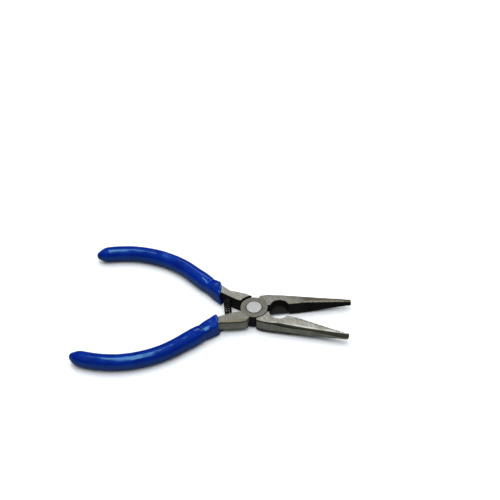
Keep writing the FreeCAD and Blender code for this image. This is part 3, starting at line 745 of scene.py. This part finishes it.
@once
def forged_steel():
    """Forged steel: pale ground faces, oiled grey-brown sides, blackened inner faces, painted
    shade and painted highlights.
    """
    s = Shader("forged_steel")
    level, dark = s.attribute("level"), s.attribute("dark")
    cheek_shade = s.between(s.attribute("cheek_shade"), 0.1, 0.6)
    bevel, edge = s.attribute("bevel"), s.attribute("edge")

    cloud = s.noise(s.places, 0.22, 4.0, 0.6)
    grain = s.noise(s.places, 2.6, 4.0, 0.65)
    speck = s.noise(s.places, 9.0, 2.0, 0.5)
    strokes = s.noise(s.mapped(s.places, (3.2, 0.3, 1.0), turn=-38.0), 1.0, 4.0, 0.6)

    pale = s.mix(s.between(grain, 0.3, 0.7), (0.3, 0.285, 0.245), (0.6, 0.585, 0.53))
    pale = s.mix(s.between(strokes, 0.47, 0.64, 0.0, 0.75), pale, (0.17, 0.155, 0.12))
    pale = s.mix(s.between(strokes, 0.44, 0.32, 0.0, 0.5), pale, (0.74, 0.73, 0.69))
    pale = s.mix(s.between(cloud, 0.44, 0.66, 0.0, 0.5), pale, (0.27, 0.235, 0.16))
    sides = s.mix(s.between(grain, 0.32, 0.7), (0.24, 0.222, 0.17), (0.5, 0.475, 0.395))
    sides = s.mix(s.between(cloud, 0.42, 0.66, 0.0, 0.5), sides, (0.15, 0.135, 0.095))
    black = s.mix(s.between(grain, 0.3, 0.7), (0.004, 0.0035, 0.003), (0.016, 0.014, 0.011))
    olive = s.mix(s.between(grain, 0.3, 0.7), (0.012, 0.0115, 0.007), (0.045, 0.042, 0.027))
    golden = s.mix(s.between(grain, 0.3, 0.7), (0.13, 0.105, 0.05), (0.3, 0.24, 0.13))

    streak = s.noise(s.mapped(s.places, (0.25, 2.4, 2.4), turn=-8.0), 1.0, 3.0, 0.55)
    dark_tip_colour = s.mix(s.between(streak, 0.42, 0.62), (0.03, 0.027, 0.016), (0.12, 0.105, 0.065))
    # Painted highlight along the middle line of the darker tip.
    crest_highlight = s.between(streak, 0.62, 0.42, 0.35, 1.0)
    crest_highlight = s.calc("MULTIPLY", s.attribute("crest_highlight"), crest_highlight)
    dark_tip_colour = s.mix(crest_highlight, dark_tip_colour, (0.75, 0.73, 0.64))
    pale = s.mix(s.between(s.attribute("dark_tip"), 0.1, 0.9), pale, dark_tip_colour)
    pale = s.mix(s.attribute("shade"), pale, (0.15, 0.14, 0.11))
    colour = s.mix(level, sides, pale)
    colour = s.mix(s.calc("MULTIPLY", s.attribute("boss"), 0.6), colour, (0.15, 0.145, 0.115))
    # Painted shade along the bottom of the outer sides.
    colour = s.mix(s.calc("MULTIPLY", s.attribute("foot_shade"), 0.85), colour, olive)
    colour = s.mix(s.calc("MULTIPLY", s.attribute("brow"), 0.9), colour, olive)
    # Painted shade on the jaw's outer bevel; its reflection is also taken down with the specular
    # below.
    colour = s.mix(cheek_shade, colour, olive)
    colour = s.mix(s.calc("MULTIPLY", bevel, 0.85), colour, golden)
    colour = s.mix(s.calc("MULTIPLY", s.attribute("gilt"), 0.75), colour, golden)
    # Painted highlight along the outer edge of the jaw's ground top.
    ridge_highlight = s.calc("MULTIPLY", s.attribute("ridge_highlight"), s.between(cloud, 0.62, 0.4, 0.3, 0.9))
    colour = s.mix(ridge_highlight, colour, (0.85, 0.84, 0.8))
    rim = s.calc("MULTIPLY", s.between(edge, 0.25, 0.8), s.between(cheek_shade, 0.2, 0.9, 1.0, 0.1))
    warm = s.calc("MULTIPLY", rim, s.between(cloud, 0.45, 0.6, 0.0, 0.6))
    colour = s.mix(warm, colour, (0.34, 0.26, 0.12))
    worn = s.calc("MULTIPLY", rim, s.between(cloud, 0.52, 0.38, 0.0, 0.7))
    worn = s.calc("MULTIPLY", worn, s.between(s.attribute("dark_tip"), 0.0, 1.0, 1.0, 0.1))
    colour = s.mix(worn, colour, (0.78, 0.77, 0.73))
    # Painted shade of the teeth's grooves.
    colour = s.mix(s.calc("MULTIPLY", s.attribute("tooth_groove_shade"), 0.95), colour, black)
    # Painted shade in the gap around the rivet head.
    colour = s.mix(s.calc("MULTIPLY", s.attribute("ring"), 0.85), colour, olive)
    # Blackened inner faces, with painted shade in the joint's gaps around the boss.
    colour = s.mix(dark, colour, black)
    # Concave creases painted darker: painted shade.
    colour = s.mix(s.between(edge, -0.2, -0.8, 0.0, 0.6), colour, (0.02, 0.018, 0.014))

    rough = s.between(grain, 0.3, 0.7, 0.36, 0.54)
    rough = s.calc("MAXIMUM", rough, s.calc("MULTIPLY", dark, 0.65))
    height = s.calc("ADD", s.calc("MULTIPLY", strokes, 0.6), s.calc("MULTIPLY", speck, 0.4))
    ground = s.bump(height, 0.03, 0.6)
    forged = s.bump(s.calc("ADD", grain, speck), 0.06, 0.5, ground)
    dull = s.calc("MAXIMUM", cheek_shade, s.calc("MULTIPLY", s.attribute("dark_tip"), 0.7))
    dull = s.calc("MAXIMUM", dull, s.calc("MULTIPLY", dark, 0.4))
    metal = s.between(s.calc("MAXIMUM", dark, dull), 0.0, 1.0, 0.6, 0.1)
    return s.finish(
        Base_Color=colour,
        Metallic=metal,
        Roughness=rough,
        Normal=forged,
        Specular_IOR_Level=s.between(dull, 0.0, 0.8, 0.5, 0.08),
    )


@once
def rivet_steel():
    """The rivet's bright peened steel, with painted shade in the gap around it."""
    s = Shader("rivet_steel")
    grain = s.noise(s.places, 2.4, 4.0, 0.65)
    speck = s.noise(s.places, 7.0, 2.0, 0.5)
    strokes = s.noise(s.mapped(s.places, (4.5, 0.6, 1.0), turn=-30.0), 1.0, 3.0, 0.6)
    colour = s.mix(s.between(grain, 0.32, 0.68), (0.42, 0.415, 0.395), (0.7, 0.7, 0.68))
    colour = s.mix(s.between(strokes, 0.56, 0.7, 0.0, 0.5), colour, (0.42, 0.41, 0.38))
    radius = s.add("VectorMath", {0: s.mapped(s.places, (1, 1, 0))}, operation="LENGTH")
    # Painted shade in the gap around the head.
    rim = s.between(radius.outputs["Value"], HEAD_RADIUS + 0.05, HEAD_RADIUS + HEAD_SPREAD)
    colour = s.mix(rim, colour, (0.05, 0.045, 0.035))
    rough = s.between(speck, 0.3, 0.7, 0.36, 0.52)
    normal = s.bump(s.calc("ADD", grain, s.calc("MULTIPLY", speck, 0.5)), 0.05, 0.6)
    return s.finish(Base_Color=colour, Metallic=0.55, Roughness=rough, Normal=normal)


@once
def spring_steel():
    """The spring's black oiled wire."""
    s = Shader("spring_steel")
    grain = s.noise(s.places, 3.0, 3.0, 0.6)
    colour = s.mix(s.between(grain, 0.35, 0.7), (0.012, 0.012, 0.011), (0.06, 0.055, 0.045))
    rough = s.between(grain, 0.3, 0.7, 0.25, 0.45)
    normal = s.bump(grain, 0.02, 0.5)
    return s.finish(Base_Color=colour, Metallic=0.8, Roughness=rough, Normal=normal)


@once
def dipped_plastic():
    """Blue dipped vinyl: glossy, faintly uneven, with fine handling marks."""
    s = Shader("dipped_plastic")
    cloud = s.noise(s.places, 0.12, 3.0, 0.5)
    grain = s.noise(s.places, 3.5, 3.0, 0.6)
    scuffs = s.noise(s.mapped(s.places, (0.35, 3.0, 1.0), turn=25.0), 1.0, 5.0, 0.65)
    colour = s.mix(s.between(cloud, 0.35, 0.65), (0.0004, 0.012, 0.2), (0.0007, 0.021, 0.27))
    colour = s.mix(s.between(scuffs, 0.6, 0.8, 0.0, 0.1), colour, (0.02, 0.09, 0.45))
    rough = s.between(cloud, 0.3, 0.7, 0.13, 0.19)
    rough = s.calc("ADD", rough, s.between(scuffs, 0.58, 0.8, 0.0, 0.12))
    orange_peel = s.bump(s.noise(s.places, 0.45, 2.0, 0.4), 0.04, 0.3)
    normal = s.bump(grain, 0.008, 0.5, orange_peel)
    return s.finish(
        Base_Color=colour,
        Roughness=rough,
        Normal=normal,
        Specular_Tint=(0.3, 0.8, 1.0, 1.0),
        Specular_IOR_Level=0.95,
    )


@once
def white_card():
    """The stage's plain white card. It throws less light back on the object than it shows."""
    s = Shader("white_card")
    fibre = s.noise(s.places, 0.05, 2.0, 0.5)
    colour = s.mix(fibre, (0.92, 0.925, 0.935), (0.94, 0.945, 0.955))
    seen = s.add("LightPath").outputs["Is Camera Ray"]
    colour = s.mix(seen, (0.19, 0.215, 0.23), colour)
    return s.finish(Base_Color=colour, Roughness=0.9, Specular_IOR_Level=0.1)


# ------------------------------------------------------------------------------- stage

CAMERA_AIM = (-5.92, 35.93, 6.5)
CAMERA_DISTANCE = 456.05
CAMERA_TURN = 7.3
CAMERA_DOWN = 43.77
CAMERA_ROLL = -1.05
LENS, SENSOR = 70.19, 36.0
FLOOR_REACH = 3.0
TENT_COLOUR = (0.92, 0.965, 1.0, 1.0)
TENT_TOP, TENT_SIDES = 1.95, 0.09
TENT_EDGE = (0.55, 0.85)
TENT_SEEN_IN_GLOSS = 0.03
TENT_SEEN = 0.97

# Softboxes: name, place and size in metres, and watts. Each faces the pivot.
SOFTBOXES = (
    ("overhead", (-0.05, -0.02, 0.8), (0.9, 0.2), 2.3),
    ("back", (0.1, 0.62, 0.6), (0.6, 0.14), 0.45),
)


def build_floor():
    """A plain pale card under the lowest point of the object."""
    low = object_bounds()[0].z
    corners = [(-FLOOR_REACH, -FLOOR_REACH), (FLOOR_REACH, -FLOOR_REACH)]
    corners += [(FLOOR_REACH, FLOOR_REACH), (-FLOOR_REACH, FLOOR_REACH)]
    mesh = bpy.data.meshes.new("floor")
    mesh.from_pydata([(x, y, low) for x, y in corners], [], [(0, 1, 2, 3)])
    floor = bpy.data.objects.new("floor", mesh)
    bpy.context.scene.collection.objects.link(floor)
    floor.data.materials.append(white_card())


def add_softbox(name, place, size, watts):
    """A rectangular area light that faces the pivot."""
    data = bpy.data.lights.new(name, "AREA")
    data.shape = "RECTANGLE"
    data.size, data.size_y = size
    data.energy = watts
    light = bpy.data.objects.new(name, data)
    light.location = place
    light.rotation_mode = "QUATERNION"
    light.rotation_quaternion = (-Vector(place)).to_track_quat("-Z", "Y")
    bpy.context.scene.collection.objects.link(light)


def build_light():
    """Soft studio light: a white tent for matt light, dim to mirrors, and a softbox overhead."""
    world = bpy.data.worlds.new("surround")
    bpy.context.scene.world = world
    world.use_nodes = True
    nodes, links = world.node_tree.nodes, world.node_tree.links
    background = nodes["Background"]
    background.inputs["Color"].default_value = TENT_COLOUR
    direction = nodes.new("ShaderNodeTexCoord").outputs["Generated"]
    height = nodes.new("ShaderNodeSeparateXYZ")
    links.new(direction, height.inputs["Vector"])
    tent = nodes.new("ShaderNodeMapRange")
    tent.interpolation_type = "SMOOTHSTEP"
    tent.inputs["From Min"].default_value = TENT_EDGE[0]
    tent.inputs["From Max"].default_value = TENT_EDGE[1]
    tent.inputs["To Min"].default_value = TENT_SIDES
    tent.inputs["To Max"].default_value = TENT_TOP
    links.new(height.outputs["Z"], tent.inputs["Value"])
    path = nodes.new("ShaderNodeLightPath")
    strength = nodes.new("ShaderNodeMix")
    links.new(path.outputs["Is Glossy Ray"], strength.inputs["Factor"])
    links.new(tent.outputs["Result"], strength.inputs["A"])
    strength.inputs["B"].default_value = TENT_SEEN_IN_GLOSS
    seen = nodes.new("ShaderNodeMix")
    links.new(path.outputs["Is Camera Ray"], seen.inputs["Factor"])
    links.new(strength.outputs["Result"], seen.inputs["A"])
    seen.inputs["B"].default_value = TENT_SEEN
    links.new(seen.outputs["Result"], background.inputs["Strength"])
    for softbox in SOFTBOXES:
        add_softbox(*softbox)


def build_camera():
    """The camera, placed from the point it looks at and three angles."""
    turn = Matrix.Rotation(math.radians(CAMERA_TURN), 4, "Z")
    tilt = Matrix.Rotation(math.radians(90 - CAMERA_DOWN), 4, "X")
    roll = Matrix.Rotation(math.radians(CAMERA_ROLL), 4, "Z")
    rotation = turn @ tilt @ roll
    back = rotation.to_3x3() @ Vector((0, 0, CAMERA_DISTANCE * MM))
    data = bpy.data.cameras.new("camera")
    data.lens, data.sensor_width = LENS, SENSOR
    data.clip_start, data.clip_end = 0.01, 20.0
    camera = bpy.data.objects.new("camera", data)
    camera.matrix_world = Matrix.Translation(Vector(CAMERA_AIM) * MM + back) @ rotation
    bpy.context.scene.collection.objects.link(camera)
    bpy.context.scene.camera = camera


for side in ("top", "bottom"):
    build_lever(side)
    build_grip(side)
build_rivet()
build_spring()
build_floor()
build_light()
build_camera()

view = bpy.context.scene.view_settings
view.view_transform = "Standard"
view.look = "None"
view.exposure = 0.0
